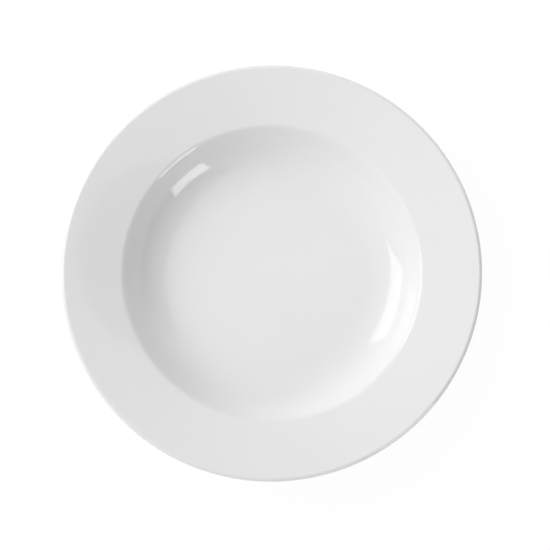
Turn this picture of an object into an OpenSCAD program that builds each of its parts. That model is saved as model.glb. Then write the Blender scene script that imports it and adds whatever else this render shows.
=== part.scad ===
// Rimmed soup plate: one pressed porcelain body under two coats of glaze.
// The body is pressed and fired in one piece: rim, shoulder, wall, well floor and foot ring.
// The glaze is a glass skin that is fused to it. The foot's standing face is wiped bare before
// the firing, so the skin is two pieces, one outside the foot ring and one inside it.
// Sizes are in millimetres, with +Z up. The origin is on the plate's axis, at the table.

/* [Plate] */
// Diameter over the glazed lip
plate_d = 230; // [210:1:270]
// Height from the table to the top of the glazed lip
plate_h = 33.5; // [30:0.5:42]

/* [Rim] */
// Slope of the rim's face above the horizontal, in degrees
rim_angle = 12.8; // [8:0.2:16]
// How far the middle of the rim's face stands proud of a straight rim
rim_crown = 0.15; // [0.05:0.05:0.6]
// Thickness of the body at the lip, which is a full round
lip_t = 3.2; // [2.4:0.1:4.4]
// Thickness of the body at the shoulder
shoulder_t = 4.2; // [3.4:0.1:5.2]
// Radius of the shoulder's face, where the rim turns down into the well
shoulder_round = 4.2; // [3:0.1:9]

/* [Well] */
// Diameter at which rim and wall would meet without the shoulder's round
mouth_d = 163.5; // [150:0.5:176]
// Slope of the well's wall above the horizontal, in degrees
wall_angle = 54.5; // [48:0.5:64]
// Radius at the foot of the wall
wall_round = 22; // [12:1:24]
// Radius of the gentler curve between the flat floor and the wall's round
floor_round = 42; // [20:1:50]
// Slope at which the gentler curve runs on into the wall's round, in degrees
handover_angle = 20; // [12:1:28]
// Thickness of the body in the wall
wall_t = 4.4; // [3.6:0.1:5.4]
// Thickness of the body in the floor
floor_t = 4.6; // [3.6:0.1:5.6]

/* [Foot] */
// Outer diameter of the foot's standing face, its edges measured sharp
foot_d = 96; // [84:1:104]
// Width of the standing face, its edges measured sharp
foot_w = 3.4; // [2.6:0.1:5]
// Height of the foot, which is also the clearance under the floor
foot_h = 3.5; // [2.6:0.1:4.6]
// Draft of the foot's sides, in degrees
foot_draft = 8; // [3:1:15]
// Radius where the foot's sides run into the underside
foot_root_round = 2; // [0.8:0.1:2.4]
// Radius of the standing face's edges
foot_edge_round = 0.6; // [0.2:0.1:0.8]

/* [Glaze] */
// Thickness of the glaze
glaze_t = 0.25; // [0.2:0.01:0.35]
// Clearance between body and glaze, which stands for the zone that is neither once they have fused
fused_t = 0.02; // [0.01:0.01:0.04]
// Height of the bare band on the foot's sides
glaze_line = 1.1; // [0.9:0.1:1.5]

/* [Hidden] */

// Facets round the plate, the most that one step of an arc in the profile turns, and how near two
// points of the profile are one, as a share of the fused zone
$fn = 192;
arc_step = 4;
repeat_share = 0.05;

body_colour = "#e9e6df";
glaze_colour = "#f2f2f1";

// Unit vector along v
function unit(v) = v / norm(v);
// v turned a quarter turn to the right
function right_of(v) = [v.y, -v.x];
// v turned by angle, anticlockwise
function turned(v, angle) = [v.x * cos(angle) - v.y * sin(angle), v.x * sin(angle) + v.y * cos(angle)];
// A list's items in the opposite order
function reversed(list) = [for (i = [len(list) - 1:-1:0]) list[i]];

// Corner b of the path a, b, c, moved to lie d to the right of both its edges
function mitred(a, b, c, d) =
    let (m = right_of(unit(b - a)), n = right_of(unit(c - b)))
    b + d * (m + n) / (1 + m * n);

// Signed angle by which the path a, b, c turns at b, positive to the left
function turn_at(a, b, c) =
    let (u = unit(b - a), v = unit(c - b))
    atan2(u.x * v.y - u.y * v.x, u * v);

// How far from its corner a round of the given radius begins, on a path that turns there by turn
function reach(radius, turn) = radius * tan(abs(turn) / 2);

// A path without the points that repeat the one before, as where two rounds touch
function spaced(path) = [
    for (i = [0:len(path) - 1])
        if (i == 0 || norm(path[i] - path[max(i, 1) - 1]) > fused_t * repeat_share) path[i]
];

// A path's corners, each an arc as [[x, z], radius], drawn as points. Where two rounds want more
// than the edge between them has, both are drawn smaller in the same proportion.
function rounded(corners) =
    let (
        last = len(corners) - 1,
        at = [for (c = corners) c[0]],
        turn = [for (i = [0:last]) i == 0 || i == last ? 0 : turn_at(at[i - 1], at[i], at[i + 1])],
        reaches = [for (i = [0:last]) reach(corners[i][1], turn[i])],
        room = [
            for (i = [0:last - 1])
                min(1, norm(at[i + 1] - at[i]) / max(reaches[i] + reaches[i + 1], fused_t))
        ]
    )
    spaced([
        for (i = [0:last])
            if (i == 0 || i == last || reaches[i] == 0) at[i]
            else
                let (
                    fit = min(room[i - 1], room[i]),
                    radius = corners[i][1] * fit,
                    into = unit(at[i] - at[i - 1]),
                    start = at[i] - into * reaches[i] * fit,
                    side = turn[i] > 0 ? -1 : 1,
                    centre = start + right_of(into) * radius * side,
                    steps = max(2, ceil(abs(turn[i]) / arc_step))
                )
                each [for (k = [0:steps]) centre + turned(start - centre, turn[i] * k / steps)]
    ]);

// The lip's round, set so that the glazed lip is plate_d across and plate_h high
lip_r = lip_t / 2;
skin_t = fused_t + glaze_t;
lip_centre = [plate_d / 2 - skin_t - lip_r, plate_h - skin_t - lip_r];
rim_along = turned([1, 0], rim_angle);
lip_top = lip_centre + lip_r * (rim_along - right_of(rim_along));
lip_bottom = lip_centre + lip_r * (rim_along + right_of(rim_along));

// Corners of the face: the mouth, the foot of the wall, the edge of the flat floor, and the crown
// half way along the rim. The two curves of the well are set so far apart that they just touch.
floor_z = foot_h + floor_t;
mouth_r = mouth_d / 2;
mouth = [mouth_r, lip_top.y - (lip_top.x - mouth_r) * tan(rim_angle)];
handover = reach(floor_round, handover_angle) + reach(wall_round, wall_angle - handover_angle);
wall_foot_z = floor_z + handover * sin(handover_angle);
wall_foot = [mouth_r - (mouth.y - wall_foot_z) / tan(wall_angle), wall_foot_z];
floor_edge = [wall_foot.x - handover * cos(handover_angle), floor_z];
floor_middle = [0, floor_z];
rim_middle = (mouth + lip_top) / 2;
crown_top = rim_middle - right_of(rim_along) * rim_crown;
crown_round = pow(norm(lip_top - mouth), 2) / (8 * rim_crown);

// Corners of the back, each behind the face by the thickness there
floor_back = mitred(floor_middle, floor_edge, wall_foot, floor_t);
wall_back = mitred(floor_edge, wall_foot, mouth, wall_t);
shoulder_back = mitred(wall_foot, mouth, lip_top, shoulder_t);

// The foot's sides lean out from the standing face to its root, as a press needs
foot_r = foot_d / 2;
foot_inner_r = foot_r - foot_w;
function foot_lean(z) = z * tan(foot_draft);
outer_line = [foot_r + foot_lean(glaze_line), glaze_line];
inner_line = [foot_inner_r - foot_lean(glaze_line), glaze_line];

// The body's outline in three stretches, anticlockwise from the axis under the floor
recess_path = rounded([
    [[0, foot_h], 0],
    [[foot_inner_r - foot_lean(foot_h), foot_h], foot_root_round],
    [inner_line, 0]
]);
bare_path = rounded([
    [inner_line, 0],
    [[foot_inner_r, 0], foot_edge_round],
    [[foot_r, 0], foot_edge_round],
    [outer_line, 0]
]);
shell_path = rounded([
    [outer_line, 0],
    [[foot_r + foot_lean(foot_h), foot_h], foot_root_round],
    [floor_back, floor_round + floor_t],
    [wall_back, wall_round + wall_t],
    [shoulder_back, shoulder_round + shoulder_t],
    [lip_bottom, lip_r],
    [lip_top, lip_r],
    [crown_top, crown_round],
    [mouth, shoulder_round],
    [wall_foot, wall_round],
    [floor_edge, floor_round],
    [floor_middle, 0]
]);

// A path without its first point, which the path before it has drawn
function rest_of(path) = [for (i = [1:len(path) - 1]) path[i]];

// The path's points moved out by d. An end on the axis moves straight out, and an end on the foot
// also slides back along the path, so the glaze tapers off at its line.
function grown(path, d) =
    let (
        last = len(path) - 1,
        first_edge = unit(path[1] - path[0]),
        last_edge = unit(path[last] - path[last - 1])
    )
    [
        path[0] + d * (right_of(first_edge) + (path[0].x > 0 ? first_edge : [0, 0])),
        for (i = [1:last - 1]) mitred(path[i - 1], path[i], path[i + 1], d),
        path[last] + d * (right_of(last_edge) - (path[last].x > 0 ? last_edge : [0, 0]))
    ];

// A coat of glaze over one stretch of the body's outline
module coat(path) {
    rotate_extrude()
        polygon(concat(grown(path, fused_t), reversed(grown(path, skin_t))));
}

// The pressed and fired body, bare where the foot stands
module porcelain_body() {
    color(body_colour)
        rotate_extrude()
            polygon(concat(recess_path, rest_of(bare_path), rest_of(shell_path)));
}

// Glaze from the outside of the foot, up the back, over the lip and down into the well
module glaze_coat() {
    color(glaze_colour)
        coat(shell_path);
}

// Glaze under the floor, inside the foot ring
module foot_recess_glaze() {
    color(glaze_colour)
        coat(recess_path);
}

porcelain_body();
glaze_coat();
foot_recess_glaze();
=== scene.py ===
"""Rimmed soup plate of white glazed porcelain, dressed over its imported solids.

The plate is one pressed body under two coats of glaze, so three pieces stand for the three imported
solids. Each is drawn as the same outline at a finer step and turned about the plate's axis, so the
lamps' reflections run smoothly round the wall. Sizes are in millimetres until a piece is finished,
and every finished mesh is in metres, in the frame's own place.
"""
import logging
import math
from dataclasses import dataclass, field
from enum import Enum

import bmesh
import bpy
from mathutils import Matrix, Vector


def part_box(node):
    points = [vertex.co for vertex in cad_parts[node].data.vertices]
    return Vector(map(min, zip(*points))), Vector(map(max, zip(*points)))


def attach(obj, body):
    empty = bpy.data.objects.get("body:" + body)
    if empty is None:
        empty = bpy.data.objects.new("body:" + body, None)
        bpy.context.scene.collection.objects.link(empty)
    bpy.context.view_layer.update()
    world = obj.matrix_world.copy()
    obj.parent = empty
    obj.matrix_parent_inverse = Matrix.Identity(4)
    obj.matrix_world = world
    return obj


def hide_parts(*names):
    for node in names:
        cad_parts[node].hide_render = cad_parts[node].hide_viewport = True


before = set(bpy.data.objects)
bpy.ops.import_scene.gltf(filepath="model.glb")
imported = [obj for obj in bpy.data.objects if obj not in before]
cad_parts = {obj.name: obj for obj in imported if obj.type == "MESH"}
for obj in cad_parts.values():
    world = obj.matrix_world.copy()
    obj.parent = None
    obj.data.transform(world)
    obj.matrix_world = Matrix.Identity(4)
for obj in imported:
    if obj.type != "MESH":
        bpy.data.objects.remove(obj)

log = logging.getLogger("soup_plate")

MM = 0.001


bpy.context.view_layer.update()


def linear(hex_colour: str) -> tuple[float, float, float, float]:
    """Turns an sRGB hex colour into the linear colour that a shader's socket takes.

    Args:
        hex_colour: Six hex digits after a hash sign.

    Returns:
        Linear red, green and blue, and an alpha of 1.
    """
    toe, toe_slope, offset, gamma = 0.04045, 12.92, 0.055, 2.4
    shares = [int(hex_colour[i:i + 2], 16) / 255 for i in (1, 3, 5)]
    red, green, blue = (s / toe_slope if s <= toe else ((s + offset) / (1 + offset)) ** gamma for s in shares)
    return (red, green, blue, 1.0)


def add_node(
    tree: bpy.types.NodeTree, kind: str, links: dict | None = None, **settings: object
) -> bpy.types.Node:
    """Adds one shader node with its settings and its links.

    Args:
        tree: The node tree that takes the node.
        kind: The node's type name, such as ShaderNodeTexNoise.
        links: For each input's name or number, the output socket that feeds it or its plain value.
        settings: The node's own properties, such as operation.

    Returns:
        The new node.
    """
    node = tree.nodes.new(kind)
    for name, value in settings.items():
        setattr(node, name, value)
    for socket, source in (links or {}).items():
        if isinstance(source, bpy.types.NodeSocket):
            tree.links.new(source, node.inputs[socket])
        else:
            node.inputs[socket].default_value = source
    return node


def emptied(owner: bpy.types.Material | bpy.types.World) -> bpy.types.NodeTree:
    """Gives a material or a world an empty node tree.

    Args:
        owner: The material or the world.

    Returns:
        Its node tree, which has no nodes.
    """
    owner.use_nodes = True
    owner.node_tree.nodes.clear()
    return owner.node_tree


def clouds(
    tree: bpy.types.NodeTree, place: bpy.types.NodeSocket, size_mm: float, detail: float = 1.0
) -> bpy.types.NodeSocket:
    """Adds a pattern of soft patches.

    Args:
        tree: The node tree that takes the nodes.
        place: The socket that gives the object's own coordinates.
        size_mm: How large a patch is.
        detail: How many finer patterns are laid over the patches.

    Returns:
        The socket with the pattern, from 0 to 1.
    """
    links = {"Vector": place, "Scale": 1 / (size_mm * MM), "Detail": detail}
    return add_node(tree, "ShaderNodeTexNoise", links).outputs["Fac"]


def relief(
    tree: bpy.types.NodeTree,
    pattern: bpy.types.NodeSocket,
    height_mm: float,
    under: bpy.types.NodeSocket | None = None,
) -> bpy.types.NodeSocket:
    """Raises a surface by a pattern.

    Args:
        tree: The node tree that takes the nodes.
        pattern: The socket with the pattern.
        height_mm: How far its highest places stand over its lowest.
        under: The socket of a relief that this one lies over.

    Returns:
        The socket that gives the relief to a shader.
    """
    links = {"Height": pattern, "Strength": 1.0, "Distance": height_mm * MM}
    if under is not None:
        links["Normal"] = under
    return add_node(tree, "ShaderNodeBump", links).outputs["Normal"]


def shaded(
    tree: bpy.types.NodeTree, share: bpy.types.NodeSocket, colour: str, other: str
) -> bpy.types.NodeSocket:
    """Mixes two colours by a pattern.

    Args:
        tree: The node tree that takes the nodes.
        share: The socket with the other colour's share.
        colour: The colour where the share is 0.
        other: The colour where the share is 1.

    Returns:
        The socket with the mixed colour.
    """
    links = {"Factor": share, "A": linear(colour), "B": linear(other)}
    return add_node(tree, "ShaderNodeMix", links, data_type="RGBA").outputs["Result"]


class Slot(Enum):
    """The record's material slots, named beside each piece in the build but not given to it."""

    BISQUE = "bisque"
    GLAZE = "glaze"


@dataclass(frozen=True)
class Glaze:
    """Clear gloss glaze fired over white porcelain.

    Fired glass is smooth to the touch but levels unevenly, so straight lamp edges come back a
    little wavy, and it is never quite one shade, because it is thicker in some places.
    """

    name: str = "clear glaze on white porcelain"
    colour: str = "#f2f2f1"
    pooled_colour: str = "#eef0ef"
    ior: float = 1.52
    roughness: float = 0.05
    roughness_spread: float = 0.02
    wave_mm: float = 14.0
    wave_height_mm: float = 0.02
    peel_mm: float = 2.4
    peel_height_mm: float = 0.0012
    pool_mm: float = 38.0
    pool_detail: float = 2.0

    def material(self) -> bpy.types.Material:
        """Makes the glaze's material.

        Returns:
            The material, with its pattern in object coordinates.
        """
        made = bpy.data.materials.new(self.name)
        made.use_nodes = True
        tree = made.node_tree
        shader = tree.nodes["Principled BSDF"]
        shader.inputs["IOR"].default_value = self.ior
        place = add_node(tree, "ShaderNodeTexCoord").outputs["Object"]
        pool = clouds(tree, place, self.pool_mm, self.pool_detail)
        shade = shaded(tree, pool, self.colour, self.pooled_colour)
        tree.links.new(shade, shader.inputs["Base Color"])
        gloss = add_node(
            tree,
            "ShaderNodeMapRange",
            {
                "Value": pool,
                "To Min": self.roughness - self.roughness_spread / 2,
                "To Max": self.roughness + self.roughness_spread / 2,
            },
        )
        tree.links.new(gloss.outputs["Result"], shader.inputs["Roughness"])
        waved = relief(tree, clouds(tree, place, self.wave_mm), self.wave_height_mm)
        peeled = relief(tree, clouds(tree, place, self.peel_mm), self.peel_height_mm, waved)
        tree.links.new(peeled, shader.inputs["Normal"])
        return made


@dataclass(frozen=True)
class Bisque:
    """Fired porcelain without glaze, ground level where it stood on the kiln shelf.

    The bare body is matt and faintly warm beside the glaze, with a fine sandy grain and a few
    grey grains of shelf wash.
    """

    name: str = "bare ground porcelain"
    colour: str = "#ded8cc"
    speck_colour: str = "#9a9388"
    roughness: float = 0.7
    ior: float = 1.5
    grain_mm: float = 0.5
    grain_detail: float = 3.0
    grain_height_mm: float = 0.03
    speck_mm: float = 1.6
    speck_share: float = 0.16

    def material(self) -> bpy.types.Material:
        """Makes the bare body's material.

        Returns:
            The material, with its pattern in object coordinates.
        """
        made = bpy.data.materials.new(self.name)
        made.use_nodes = True
        tree = made.node_tree
        shader = tree.nodes["Principled BSDF"]
        shader.inputs["IOR"].default_value = self.ior
        shader.inputs["Roughness"].default_value = self.roughness
        place = add_node(tree, "ShaderNodeTexCoord").outputs["Object"]
        speck = add_node(tree, "ShaderNodeTexVoronoi", {"Vector": place, "Scale": 1 / (self.speck_mm * MM)})
        spotted = add_node(
            tree,
            "ShaderNodeMapRange",
            {"Value": speck.outputs["Distance"], "From Max": self.speck_share, "To Min": 1.0, "To Max": 0.0},
        )
        shade = shaded(tree, spotted.outputs["Result"], self.colour, self.speck_colour)
        tree.links.new(shade, shader.inputs["Base Color"])
        grain = clouds(tree, place, self.grain_mm, self.grain_detail)
        tree.links.new(relief(tree, grain, self.grain_height_mm), shader.inputs["Normal"])
        return made


@dataclass(frozen=True)
class Corner:
    """One corner of an outline, in millimetres from the plate's axis and from the table."""

    x: float
    z: float
    round: float = 0.0

    @property
    def at(self) -> Vector:
        """The corner's place in the outline's plane."""
        return Vector((self.x, 0.0, self.z))


def right_of(along: Vector) -> Vector:
    """The unit vector to the right of a direction in the outline's plane."""
    return Vector((along.z, 0.0, -along.x)).normalized()


def turn_at(before: Vector, here: Vector, after: Vector) -> float:
    """Finds how far a path turns at a corner.

    Args:
        before: The corner before.
        here: The corner that the path turns at.
        after: The corner after.

    Returns:
        The turn in radians, positive to the left.
    """
    into, out = here - before, after - here
    return math.atan2(into.x * out.z - into.z * out.x, into.dot(out))


def direction(angle: float) -> Vector:
    """The unit vector in the outline's plane that rises at an angle in radians."""
    return Vector((math.cos(angle), 0.0, math.sin(angle)))


def corner_at(place: Vector, round_by: float = 0.0) -> Corner:
    """The corner at a place in the outline's plane."""
    return Corner(place.x, place.z, round_by)


def mitred(before: Vector, here: Vector, after: Vector, amount: float) -> Vector:
    """Moves a path's corner to the right of both its edges.

    Args:
        before: The corner before.
        here: The corner that moves.
        after: The corner after.
        amount: How far each edge moves.

    Returns:
        The moved corner's place.
    """
    near, far = right_of(here - before), right_of(after - here)
    return here + amount * (near + far) / (1 + near.dot(far))


def grown(corners: list[Corner], amount: float) -> list[Corner]:
    """Moves a path out to its right, as a coat of that thickness would.

    Args:
        corners: The path's corners, in order.
        amount: The thickness of the coat.

    Returns:
        The corners of the parallel path, each round larger or smaller by the same thickness.
    """
    moved = []
    for before, here, after in zip(corners, corners[1:], corners[2:]):
        outward = math.copysign(amount, turn_at(before.at, here.at, after.at))
        place = mitred(before.at, here.at, after.at, amount)
        moved.append(corner_at(place, here.round + outward if here.round else 0.0))
    ends = []
    for end, inner, way in ((corners[0], corners[1], 1), (corners[-1], corners[-2], -1)):
        along = (inner.at - end.at).normalized()
        place = end.at + amount * right_of(along) * way + (amount * along if end.x > 0 else Vector())
        ends.append(Corner(place.x, place.z))
    return [ends[0], *moved, ends[1]]


@dataclass
class Pen:
    """Draws an outline in its plane, one straight or round stretch after another."""

    mesh: bmesh.types.BMesh
    straight_step: float = 4.0
    turn_step: float = math.radians(2.5)
    fewest_steps: int = 4
    shortest: float = 0.004
    tip: bmesh.types.BMVert | None = None

    def start(self, place: Vector) -> None:
        """Sets the pen down at a place."""
        self.tip = self.mesh.verts.new(place)

    def line(self, place: Vector) -> None:
        """Draws a straight stretch.

        Args:
            place: Where the stretch ends.
        """
        way = place - self.tip.co
        if way.length < self.shortest:
            return
        steps = max(1, math.ceil(way.length / self.straight_step))
        for _ in range(steps):
            drawn = bmesh.ops.extrude_vert_indiv(self.mesh, verts=[self.tip])
            self.tip = drawn["verts"][0]
            bmesh.ops.translate(self.mesh, verts=[self.tip], vec=way / steps)

    def arc(self, centre: Vector, turn: float) -> None:
        """Draws a round stretch.

        Args:
            centre: The arc's centre.
            turn: How far it turns in radians, positive to the left.
        """
        drawn = bmesh.ops.spin(
            self.mesh,
            geom=[self.tip],
            cent=centre,
            axis=(0.0, -1.0, 0.0),
            angle=turn,
            steps=max(self.fewest_steps, math.ceil(abs(turn) / self.turn_step)),
        )
        self.tip = next(made for made in drawn["geom_last"] if isinstance(made, bmesh.types.BMVert))

    def path(self, corners: list[Corner]) -> None:
        """Draws a whole path, each corner rounded by an arc that runs smoothly into both its edges.

        Args:
            corners: The path's corners, in order.
        """
        at = [corner.at for corner in corners]
        turns = [turn_at(*at[i - 1:i + 2]) for i in range(1, len(at) - 1)]
        reach = [0.0, *(c.round * math.tan(abs(t) / 2) for c, t in zip(corners[1:], turns)), 0.0]
        room = [
            min(1.0, (b - a).length / max(near + far, self.shortest))
            for a, b, near, far in zip(at, at[1:], reach, reach[1:])
        ]
        if self.tip is None:
            self.start(at[0])
        else:
            self.line(at[0])
        for i, turn in enumerate(turns, start=1):
            fit = min(room[i - 1], room[i])
            into = (at[i] - at[i - 1]).normalized()
            self.line(at[i] - into * reach[i] * fit)
            if reach[i]:
                side = -1 if turn > 0 else 1
                self.arc(self.tip.co + right_of(into) * corners[i].round * fit * side, turn)
        self.line(at[-1])


@dataclass
class SoupPlate:
    """The plate's sizes, in millimetres, and the three pieces that they make."""

    rim_angle: float = 12.8
    rim_crown: float = 0.15
    lip_t: float = 3.2
    shoulder_t: float = 4.2
    shoulder_round: float = 4.2
    mouth_d: float = 163.5
    wall_angle: float = 54.5
    wall_round: float = 22.0
    floor_round: float = 42.0
    handover_angle: float = 20.0
    wall_t: float = 4.4
    floor_t: float = 4.6
    foot_d: float = 96.0
    foot_w: float = 3.4
    foot_h: float = 3.5
    foot_draft: float = 8.0
    foot_root_round: float = 2.0
    foot_edge_round: float = 0.6
    glaze_t: float = 0.25
    fused_t: float = 0.02
    glaze_line: float = 1.1
    turns: int = 224
    plate_r: float = field(init=False)
    plate_h: float = field(init=False)

    def __post_init__(self) -> None:
        """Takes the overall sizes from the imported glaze."""
        low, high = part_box("glaze_coat")
        self.plate_r = (high.x - low.x) / 2 / MM
        self.plate_h = high.z / MM

    def foot_lean(self, z: float) -> float:
        """How far a side of the foot has leaned out at a height."""
        return z * math.tan(math.radians(self.foot_draft))

    def recess(self) -> list[Corner]:
        """The stretch under the floor, from the axis to the glaze line inside the foot."""
        inner = self.foot_d / 2 - self.foot_w
        return [
            Corner(0.0, self.foot_h),
            Corner(inner - self.foot_lean(self.foot_h), self.foot_h, self.foot_root_round),
            Corner(inner - self.foot_lean(self.glaze_line), self.glaze_line),
        ]

    def bare(self) -> list[Corner]:
        """The standing face, from one glaze line to the other."""
        outer = self.foot_d / 2
        inner = outer - self.foot_w
        return [
            Corner(inner - self.foot_lean(self.glaze_line), self.glaze_line),
            Corner(inner, 0.0, self.foot_edge_round),
            Corner(outer, 0.0, self.foot_edge_round),
            Corner(outer + self.foot_lean(self.glaze_line), self.glaze_line),
        ]

    def shell(self) -> list[Corner]:
        """The stretch from the outer glaze line over back, lip, rim and wall to the axis."""
        foot = self.foot_d / 2
        rise, steep = math.radians(self.rim_angle), math.radians(self.wall_angle)
        ease = math.radians(self.handover_angle)
        along, lip_r, skin = direction(rise), self.lip_t / 2, self.fused_t + self.glaze_t
        lip = Vector((self.plate_r - skin - lip_r, 0.0, self.plate_h - skin - lip_r))
        top = lip + lip_r * (along - right_of(along))
        bottom = lip + lip_r * (along + right_of(along))
        mouth = Vector((self.mouth_d / 2, 0.0, top.z - (top.x - self.mouth_d / 2) * math.tan(rise)))
        middle = Vector((0.0, 0.0, self.foot_h + self.floor_t))
        handover = self.floor_round * math.tan(ease / 2) + self.wall_round * math.tan((steep - ease) / 2)
        wall = middle + handover * direction(ease)
        wall.x = mouth.x - (mouth.z - wall.z) / math.tan(steep)
        edge = wall - handover * direction(ease)
        crown = (mouth + top) / 2 - right_of(along) * self.rim_crown
        return [
            Corner(foot + self.foot_lean(self.glaze_line), self.glaze_line),
            Corner(foot + self.foot_lean(self.foot_h), self.foot_h, self.foot_root_round),
            corner_at(mitred(middle, edge, wall, self.floor_t), self.floor_round + self.floor_t),
            corner_at(mitred(edge, wall, mouth, self.wall_t), self.wall_round + self.wall_t),
            corner_at(mitred(wall, mouth, top, self.shoulder_t), self.shoulder_round + self.shoulder_t),
            corner_at(bottom, lip_r),
            corner_at(top, lip_r),
            corner_at(crown, (top - mouth).length ** 2 / (8 * self.rim_crown)),
            corner_at(mouth, self.shoulder_round),
            corner_at(wall, self.wall_round),
            corner_at(edge, self.floor_round),
            corner_at(middle),
        ]

    def coat(self, path: list[Corner]) -> list[list[Corner]]:
        """The glaze over one stretch: back along its inner face, then out along its outer one."""
        return [grown(path, self.fused_t)[::-1], grown(path, self.fused_t + self.glaze_t)]

    def turned(self, name: str, paths: list[list[Corner]]) -> bpy.types.Object:
        """Turns an outline about the plate's axis.

        Args:
            name: The piece's name.
            paths: The outline's stretches in order, from the axis back to the axis.

        Returns:
            The finished piece, closed and in metres.
        """
        shape = bmesh.new()
        pen = Pen(shape)
        for path in paths:
            pen.path(path)
        bmesh.ops.spin(
            shape,
            geom=[*shape.verts, *shape.edges],
            cent=(0.0, 0.0, 0.0),
            axis=(0.0, 0.0, 1.0),
            angle=math.tau,
            steps=self.turns,
            use_merge=True,
        )
        middle = [vert for vert in shape.verts if vert.co.xy.length < pen.shortest]
        bmesh.ops.remove_doubles(shape, verts=middle, dist=pen.shortest)
        bmesh.ops.recalc_face_normals(shape, faces=shape.faces)
        bmesh.ops.scale(shape, vec=(MM, MM, MM), verts=shape.verts)
        mesh = bpy.data.meshes.new(name)
        shape.to_mesh(mesh)
        shape.free()
        mesh.shade_smooth()
        piece = bpy.data.objects.new(name, mesh)
        bpy.context.scene.collection.objects.link(piece)
        return piece

    def build(self) -> list[bpy.types.Object]:
        """Builds and dresses the plate's three pieces.

        Returns:
            The pieces, each riding on the plate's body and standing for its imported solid.
        """
        recess, bare, shell = self.recess(), self.bare(), self.shell()
        glaze, bisque = Glaze().material(), Bisque().material()
        pieces = []
        for name, node, slot, material, paths in (
            ("plate_body", "porcelain_body", Slot.BISQUE, bisque, [recess, bare, shell]),
            ("plate_glaze", "glaze_coat", Slot.GLAZE, glaze, self.coat(shell)),
            ("recess_glaze", "foot_recess_glaze", Slot.GLAZE, glaze, self.coat(recess)[::-1]),
        ):
            piece = self.turned(name, paths)
            piece.data.materials.append(material)
            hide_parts(node)
            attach(piece, "root")
            log.info("%s stands for %s with %d faces", name, node, len(piece.data.polygons))
            pieces.append(piece)
        return pieces


def toward(azimuth: float, elevation: float) -> Vector:
    """Finds a direction in the room.

    Args:
        azimuth: Degrees anticlockwise from the +X axis, seen from above.
        elevation: Degrees above the table.

    Returns:
        The unit vector from the plate that way.
    """
    turn, rise = math.radians(azimuth), math.radians(elevation)
    return Vector((math.cos(turn) * math.cos(rise), math.sin(turn) * math.cos(rise), math.sin(rise)))


def hang(held: bpy.types.Object, azimuth: float, elevation: float, distance: float) -> None:
    """Hangs a lamp or a card in the room, facing the plate and unseen by the camera itself.

    Args:
        held: The lamp or card, whose front is its own -Z side.
        azimuth: Degrees anticlockwise from the +X axis, seen from above.
        elevation: Degrees above the table.
        distance: Metres from the plate's foot.
    """
    back = toward(azimuth, elevation)
    facing = back.to_track_quat("Z", "Y").to_matrix().to_4x4()
    held.matrix_world = Matrix.Translation(back * distance) @ facing
    held.visible_camera = False
    bpy.context.scene.collection.objects.link(held)


def sheet(name: str, width: float, height: float, material: bpy.types.Material) -> bpy.types.Object:
    """Makes a flat sheet across the origin.

    Args:
        name: The sheet's name.
        width: Metres along X.
        height: Metres along Y.
        material: What it is made of.

    Returns:
        The sheet, not yet in the scene.
    """
    shape = bmesh.new()
    bmesh.ops.create_grid(shape, x_segments=1, y_segments=1, size=0.5)
    bmesh.ops.scale(shape, vec=(width, height, 1.0), verts=shape.verts)
    mesh = bpy.data.meshes.new(name)
    shape.to_mesh(mesh)
    shape.free()
    mesh.materials.append(material)
    made = bpy.data.objects.new(name, mesh)
    return made


@dataclass(frozen=True)
class Softbox:
    """One soft lamp, placed by its direction from the plate.

    Where a lamp isn't mirrored, the glaze mirrors the white room behind it instead.
    """

    name: str
    azimuth: float
    elevation: float
    width: float
    height: float
    radiance: float
    distance: float = 1.5
    mirrored: bool = True

    def build(self) -> bpy.types.Object:
        """Hangs the lamp, facing the plate.

        Returns:
            The lamp's object, unseen by the camera itself.
        """
        lamp = bpy.data.lights.new(self.name, "AREA")
        lamp.shape = "RECTANGLE"
        lamp.size, lamp.size_y = self.width, self.height
        lamp.energy = self.radiance * self.width * self.height * math.pi
        held = bpy.data.objects.new(self.name, lamp)
        held.visible_glossy = self.mirrored
        hang(held, self.azimuth, self.elevation, self.distance)
        return held


@dataclass(frozen=True)
class Flag:
    """One black card, which keeps the room's light off one side and is dark in reflections."""

    name: str
    azimuth: float
    elevation: float
    width: float
    height: float
    distance: float = 1.5
    colour: str = "#1c1c1c"

    def build(self) -> bpy.types.Object:
        """Stands the card up, facing the plate.

        Returns:
            The card, unseen by the camera itself.
        """
        felt = bpy.data.materials.new("black felt over card")
        tree = emptied(felt)
        matt = add_node(tree, "ShaderNodeBsdfDiffuse", {"Color": linear(self.colour)})
        add_node(tree, "ShaderNodeOutputMaterial", {"Surface": matt.outputs[0]})
        card = sheet(self.name, self.width, self.height, felt)
        hang(card, self.azimuth, self.elevation, self.distance)
        return card


@dataclass(frozen=True)
class Glow:
    """One broad patch of daylight in the room.

    It is brightest in its own direction and fades out over its reach, in degrees round that.
    """

    azimuth: float
    elevation: float
    strength: float
    reach: float

    def level(self, tree: bpy.types.NodeTree, place: bpy.types.NodeSocket) -> bpy.types.NodeSocket:
        """Works out the patch's light in every direction.

        Args:
            tree: The world's node tree.
            place: The socket that gives the direction.

        Returns:
            The socket with the patch's strength.
        """
        links = {0: place, 1: toward(self.azimuth, self.elevation)}
        across = add_node(tree, "ShaderNodeVectorMath", links, operation="DOT_PRODUCT")
        edge = math.cos(math.radians(self.reach))
        fade = add_node(
            tree,
            "ShaderNodeMapRange",
            {"Value": across.outputs["Value"], "From Min": edge, "From Max": 1.0, "To Max": self.strength},
            interpolation_type="SMOOTHSTEP",
        )
        return fade.outputs["Result"]


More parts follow.
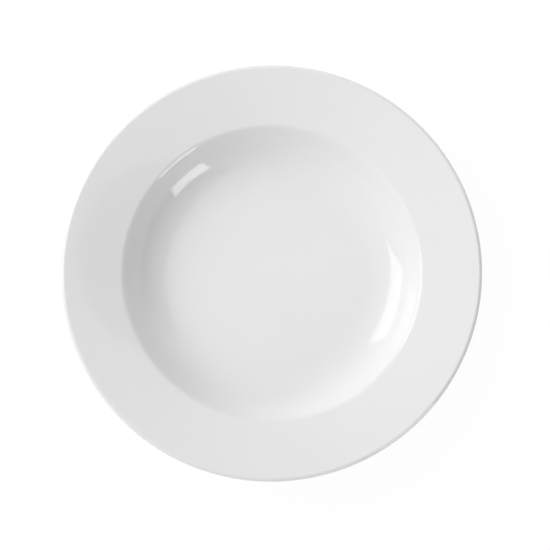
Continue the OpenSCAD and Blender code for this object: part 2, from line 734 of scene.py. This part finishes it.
@dataclass(frozen=True)
class Studio:
    """The camera, the floor and the soft light of a tabletop studio.

    The picture's own measures are in pixels of its 550 by 550 frame. The key and the second
    softbox hang where their mirror images in the well's wall and shoulder put them. The far
    softbox and the patches of daylight light the plate, but its glaze mirrors the plain white room.
    """

    frame_px: float = 550.0
    plate_px: float = 421.6
    centre_px: tuple[float, float] = (271.2, 270.3)
    tilt: float = 8.7
    lean_azimuth: float = -82.0
    camera_distance: float = 1.3
    sensor_mm: float = 36.0
    ambient: float = 0.05
    floor_m: float = 6.0
    floor_colour: str = "#f4f4f4"
    floor_glow: float = 1.04
    floor_share: float = 0.1
    boxes: tuple[Softbox, ...] = (
        Softbox("key softbox", 159.0, 35.5, 0.85, 0.98, 2.5),
        Softbox("second softbox", -44.7, 23.0, 0.53, 0.75, 4.6),
        Softbox("far softbox", 75.0, 30.0, 1.8, 1.4, 1.38, mirrored=False),
    )
    glows: tuple[Glow, ...] = (
        Glow(150.0, 40.0, 2.6, 35.0),
        Glow(240.0, 40.0, 2.1, 35.0),
        Glow(210.0, 10.0, 0.5, 40.0),
    )
    flags: tuple[Flag, ...] = (Flag("right flag", -10.0, 44.0, 1.7, 1.9),)

    def camera(self, plate: SoupPlate) -> bpy.types.Object:
        """Sets the camera over the plate, a little in front of it, as the picture was taken.

        Args:
            plate: The plate, whose lip sets the picture's scale.

        Returns:
            The camera, which is also made the scene's own.
        """
        back = toward(self.lean_azimuth, 90.0 - self.tilt)
        across = Vector((1.0, 0.0, 0.0))
        across = (across - back * across.dot(back)).normalized()
        lens = bpy.data.cameras.new("camera")
        lens.sensor_width = self.sensor_mm
        seen = self.frame_px / self.plate_px * 2 * plate.plate_r * MM
        lens.lens = self.sensor_mm * self.camera_distance / seen
        lens.shift_x = 0.5 - self.centre_px[0] / self.frame_px
        lens.shift_y = self.centre_px[1] / self.frame_px - 0.5
        eye = bpy.data.objects.new("camera", lens)
        place = Matrix((across, back.cross(across), back)).transposed().to_4x4()
        place.translation = Vector((0.0, 0.0, plate.plate_h * MM)) + back * self.camera_distance
        eye.matrix_world = place
        bpy.context.scene.collection.objects.link(eye)
        bpy.context.scene.camera = eye
        return eye

    def shown_rays(self, tree: bpy.types.NodeTree) -> bpy.types.NodeSocket:
        """Tells the rays that show a surface, straight or in a reflection, from those that light one.

        Args:
            tree: The node tree that takes the nodes.

        Returns:
            The socket that is 1 for the rays that show a surface.
        """
        rays = add_node(tree, "ShaderNodeLightPath").outputs
        shown = rays["Is Camera Ray"]
        for other in ("Is Glossy Ray", "Is Transmission Ray"):
            links = {0: shown, 1: rays[other]}
            shown = add_node(tree, "ShaderNodeMath", links, operation="MAXIMUM").outputs[0]
        return shown

    def backdrop(self) -> bpy.types.Object:
        """Lays the white floor, which shows as white and keeps a faint trace of the plate's shadow.

        Returns:
            The floor.
        """
        paper = bpy.data.materials.new("white paper sweep")
        tree = emptied(paper)
        matt = add_node(tree, "ShaderNodeBsdfDiffuse", {"Color": linear(self.floor_colour)})
        glow = add_node(tree, "ShaderNodeEmission", {"Strength": self.floor_glow})
        lit = matt.outputs[0]
        shown = add_node(tree, "ShaderNodeMixShader", {0: self.floor_share, 1: glow.outputs[0], 2: lit})
        both = add_node(tree, "ShaderNodeMixShader", {0: self.shown_rays(tree), 1: lit, 2: shown.outputs[0]})
        add_node(tree, "ShaderNodeOutputMaterial", {"Surface": both.outputs[0]})
        floor = sheet("floor", self.floor_m, self.floor_m, paper)
        bpy.context.scene.collection.objects.link(floor)
        return floor

    def world(self) -> bpy.types.World:
        """Fills the room with the daylight's patches, and shows as white behind everything.

        Returns:
            The scene's world.
        """
        room = bpy.data.worlds.new("white room")
        tree = emptied(room)
        place = add_node(tree, "ShaderNodeTexCoord").outputs["Generated"]
        light: bpy.types.NodeSocket | float = self.ambient
        for patch in self.glows:
            light = add_node(tree, "ShaderNodeMath", {0: light, 1: patch.level(tree, place)}).outputs[0]
        level = add_node(
            tree, "ShaderNodeMix", {"Factor": self.shown_rays(tree), "A": light, "B": 1.0}, data_type="FLOAT"
        )
        shine = add_node(tree, "ShaderNodeBackground", {"Strength": level.outputs["Result"]})
        add_node(tree, "ShaderNodeOutputWorld", {"Surface": shine.outputs[0]})
        bpy.context.scene.world = room
        return room

    def build(self, plate: SoupPlate) -> None:
        """Builds the camera, the floor, the room and its lamps.

        Args:
            plate: The plate that stands in the studio.
        """
        self.camera(plate)
        self.backdrop()
        self.world()
        for kit in (*self.boxes, *self.flags):
            kit.build()
        bpy.context.scene.view_settings.view_transform = "Standard"
        log.info("studio with %d softboxes and %d patches of daylight", len(self.boxes), len(self.glows))


def main() -> None:
    """Builds the studio and the plate."""
    logging.basicConfig(level=logging.INFO, format="%(name)s: %(message)s")
    plate = SoupPlate()
    Studio().build(plate)
    plate.build()


if __name__ == "__main__":
    main()
